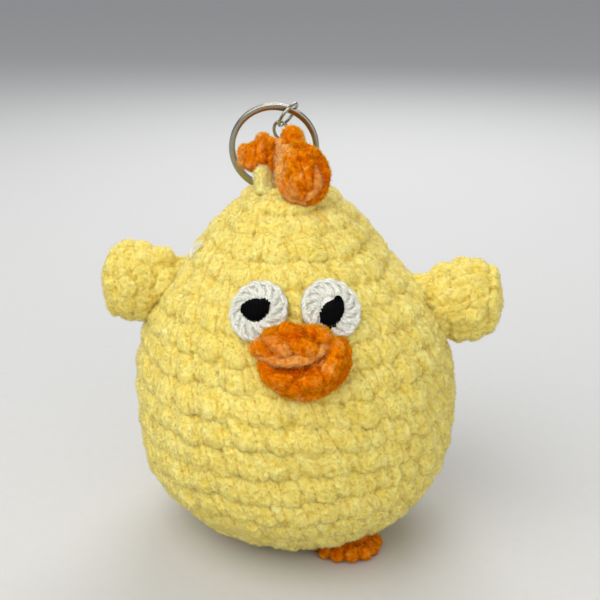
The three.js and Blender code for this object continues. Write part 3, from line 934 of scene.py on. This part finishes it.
def build_eye(side):
    eye = EYES[side]
    place = front_frame(*eye["at"])
    share, depth = EYE_PAD
    width, height = eye["radii"]
    pad = oval_pad((share * width, share * height, depth), 0)
    threads, faces = merge(eye_threads(eye["radii"]))
    sides = [face for face in faces if len(face) == 4]
    ends = [face for face in faces if len(face) != 4]
    threads, sides, _ = add_fuzz(threads, sides, {}, COTTON_FIBRES, COTTON_FIBRE_LENGTH, 0, EYE_SEED)
    points, faces = merge([pad, (threads, sides + ends)])
    piece = make_object(f"eye_{side}_crochet", on_front(place, points), faces, white)
    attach(piece, "root")
    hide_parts(f"eye_white_{side}")


def build_pupil(side):
    pupil = PUPILS[side]
    place = front_frame(*pupil["at"])
    share, depth, sunk = PUPIL_PAD
    radius = share * pupil["width"]
    parts = [oval_pad((radius, radius, depth), PUPIL_LIFT - sunk)]
    columns = np.linspace(-0.5, 0.5, THREADS) * pupil["width"]
    given = np.linspace(-0.5, 0.5, len(pupil["tops"])) * pupil["width"]
    tops = np.interp(columns, given, pupil["tops"])
    bottoms = np.interp(columns, given, pupil["bottoms"])
    tucked = THREAD_TUCK * (np.abs(np.linspace(-1, 1, THREAD_POINTS)) > THREAD_END)
    for x, top, bottom in zip(columns, tops, bottoms):
        heights = np.linspace(bottom + THREAD, top - THREAD, THREAD_POINTS)
        drop = PUPIL_DOMING * (x**2 + heights**2) + tucked
        path = np.stack([x + pupil["lean"] * heights, heights, PUPIL_LIFT - drop], 1)
        parts.append(tube(smooth_curve(path, THREAD_STEPS), THREAD))
    if side == "right":
        turn = np.linspace(0, 2 * np.pi, KNOT["points"], endpoint=False)
        loop = np.stack([np.cos(turn), np.sin(turn), 0 * turn], 1) * KNOT["radius"]
        loop += (*KNOT["at"], PUPIL_LIFT - KNOT["sunk"])
        parts.append(tube(loop, KNOT["thread"], closed=True))
    points, faces = merge(parts)
    piece = make_object(f"pupil_{side}_satin", on_front(place, points), faces, black)
    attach(piece, "root")
    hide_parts(f"pupil_{side}")


# ---- beak, comb, tuft, loop and feet ----
def build_yarn_pieces():
    pieces = {
        "beak_upper": (BEAK_UPPER, orange), "beak_lower": (BEAK_LOWER, orange),
        "comb_front": (COMB_FRONT, orange), "comb_middle": (COMB_MIDDLE, orange),
        "comb_back": (COMB_BACK, orange),
        "crown_tuft": (TUFT, yellow), "crown_loop": (CROWN_LOOP, yellow),
    }
    for seed, (node, (strands, material)) in enumerate(pieces.items(), YARN_SEED):
        piece = yarn_piece(f"{node}_yarn", strands, material, seed)
        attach(piece, "root")
        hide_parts(node)


def foot_strands(x, y):
    """Loops of yarn round a flat oval middle."""
    half, height = FOOT_MIDDLE["half_length"], FOOT_MIDDLE["height"]
    strands = [{"path": [(x - half, y, height), (x + half, y, height)], "radius": FOOT_MIDDLE["radius"]}]
    rim = FOOT_RADIUS - FOOT_YARN
    for i in range(FOOT_PUFFS):
        angle = 2 * math.pi * i / FOOT_PUFFS
        out_x, out_y = math.cos(angle), math.sin(angle) * FOOT_DEPTH
        inner_height, outer_height = FOOT_PUFF_HEIGHTS
        outer_height += FOOT_WAVE * math.sin(FOOT_WAVES * angle)
        inner = (x + out_x * FOOT_PUFF_START * rim, y + out_y * FOOT_PUFF_START * rim, inner_height)
        outer = (x + out_x * rim, y + out_y * rim, outer_height)
        strands.append({"path": [inner, outer], "radius": FOOT_YARN})
    return strands


def build_feet():
    for seed, (side, centre) in enumerate(FEET.items(), FOOT_SEED):
        piece = yarn_piece(f"foot_{side}_yarn", foot_strands(*centre), orange, seed, floor=FOOT_FLOOR)
        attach(piece, "root")
        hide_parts(f"foot_{side}")


# ---- ring and chain ----
def unit(vector):
    return np.asarray(vector, float) / np.linalg.norm(vector)


def ring_axes(up, across):
    """Columns: in the ring's plane, along its axis, and up."""
    up = unit(up)
    normal = unit(np.cross(up, across))
    return np.stack([np.cross(normal, up), normal, up], 1)


def swept(path, beside, section):
    """A bar whose section is given beside its path and along the ring's axis, with flat ends."""
    level = np.outer(section[:, 1], (0, 1, 0))
    rings = [point + np.outer(section[:, 0], sideways) + level for point, sideways in zip(path, beside)]
    count = len(section)
    faces = []
    for i in range(len(path) - 1):
        for j in range(count):
            a, b = i * count + j, i * count + (j + 1) % count
            faces.append([a, b, b + count, a + count])
    faces.append(list(range(count))[::-1])
    faces.append([(len(path) - 1) * count + j for j in range(count)])
    return np.vstack(rings), faces


def round_section(radius):
    turn = 2 * np.pi * np.arange(WIRE_SIDES) / WIRE_SIDES
    return np.stack([np.cos(turn), np.sin(turn)], 1) * radius


def band_section(axial, radial):
    """A flat band's section with rounded corners."""
    middle = (radial / 2 - RING_CORNER, axial / 2 - RING_CORNER)
    points = []
    for quarter, way in enumerate([(1, 1), (-1, 1), (-1, -1), (1, -1)]):
        for step in range(RING_CORNER_STEPS + 1):
            turn = (quarter + step / RING_CORNER_STEPS) * math.pi / 2
            points.append((way[0] * middle[0] + RING_CORNER * math.cos(turn),
                           way[1] * middle[1] + RING_CORNER * math.sin(turn)))
    return np.array(points)


def oval_ring(half_width, half_length):
    """A wire ring bent from one piece, with a butt cut."""
    half_cut = CUT / 2 / half_width
    angle = np.linspace(half_cut, 2 * np.pi - half_cut, OVAL_POINTS) + OVAL_CUT_AT
    path = np.stack([half_width * np.cos(angle), 0 * angle, half_length * np.sin(angle)], 1)
    beside = np.stack([half_length * np.cos(angle), 0 * angle, half_width * np.sin(angle)], 1)
    beside /= np.linalg.norm(beside, axis=1, keepdims=True)
    return swept(path, beside, round_section(WIRE_RADIUS))


def split_ring():
    """Two flat coils side by side, which change places over a short step."""
    first = RING_FIRST * RING_STEP
    angle = np.linspace(first, 4 * np.pi - first, RING_POINTS)
    across = np.clip((angle - 2 * np.pi) / RING_STEP, -1, 1)
    axial = RING_PITCH / 2 * np.sin(across * np.pi / 2)
    beside = np.stack([np.sin(angle), 0 * angle, -np.cos(angle)], 1)
    path = beside * RING_RADIUS + np.outer(axial, (0, 1, 0))
    return swept(path, beside, band_section(*RING_BAND))


def add_metal(node, body, shape, centre, axes):
    points, faces = shape
    piece = make_object(f"{node}_wire", points @ axes.T + centre, faces, nickel)
    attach(piece, body)
    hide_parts(node)


def build_keyring():
    ring_up = np.array([0, -math.sin(RING_LEAN), math.cos(RING_LEAN)])
    add_metal("split_ring", "ring", split_ring(), RING_CENTRE, ring_axes(ring_up, (1, 0, 0)))
    hook = np.array([math.sin(RING_HOOK), 0, 0]) + math.cos(RING_HOOK) * ring_up
    hook = RING_CENTRE + RING_RADIUS * hook
    tilt = np.array([math.sin(CONNECTOR_TILT), 0, math.cos(CONNECTOR_TILT)])
    band_reach = math.hypot(RING_PITCH + RING_BAND[0], RING_BAND[1]) / 2
    centre = hook - tilt * (CONNECTOR_RADIUS - WIRE / 2 - band_reach - CLEARANCE)
    connector = oval_ring(CONNECTOR_RADIUS, CONNECTOR_RADIUS)
    add_metal("connector_ring", "connector", connector, centre, ring_axes(tilt, CONNECTOR_FACING))
    foot = np.array(LOOP_TOP)
    head = centre - tilt * CONNECTOR_RADIUS
    along = unit(head - foot)
    touch = WIRE + CLEARANCE
    bottom = -(LOOP_YARN + WIRE) / 2 - CLEARANCE
    pitch = (np.linalg.norm(head - foot) - bottom - 2 * ANCHOR_RADIUS + touch) / LINKS
    anchor = oval_ring(ANCHOR_RADIUS, ANCHOR_RADIUS)
    anchor_centre = foot + along * (bottom + ANCHOR_RADIUS)
    add_metal("anchor_ring", "anchor", anchor, anchor_centre, ring_axes(along, (0, 1, 0)))
    bottom += 2 * ANCHOR_RADIUS - touch
    half_length = (pitch + touch) / 2
    for i in range(1, LINKS + 1):
        link = oval_ring(LINK_HALF_WIDTH, half_length)
        across = (1, 0, 0) if i % 2 else (0, 1, 0)
        link_centre = foot + along * (bottom + half_length)
        add_metal(f"chain_link_{i}", f"link_{i}", link, link_centre, ring_axes(along, across))
        bottom += pitch


# ---- stuffing ----
def build_wisp():
    """A tangle of thin fibres that bows outwards between its two ends."""
    rng = np.random.default_rng(WISP_SEED)
    start, end = np.array(WISP_FROM), np.array(WISP_TO)
    out = unit((*start[:2], WISP_UPWARDS))
    share = np.array(WISP_SHARES)[:, None]
    fibres = []
    for _ in range(WISP_FIBRES):
        spread = rng.normal(size=(len(WISP_SHARES), 3)) * WISP_SPREAD
        arch = WISP_LIFT + WISP_ARCH * np.sin(np.pi * share)
        path = start + (end - start) * share + spread + out * arch
        fibres.append(tube(smooth_curve(path, WISP_STEPS), WISP_RADIUS, WISP_SIDES))
    points, faces = merge(fibres)
    piece = make_object("fibre_wisp", points, faces, fibre)
    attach(piece, "root")


def finish_stuffing():
    """The body's stuffing stays as it is in the frame, in its own material."""
    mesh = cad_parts["fibre_fill"].data
    mesh.materials.clear()
    mesh.materials.append(fibre)


build_camera()
build_studio()
build_plush()
for eye_side in EYES:
    build_eye(eye_side)
    build_pupil(eye_side)
build_yarn_pieces()
build_feet()
build_keyring()
build_wisp()
finish_stuffing()
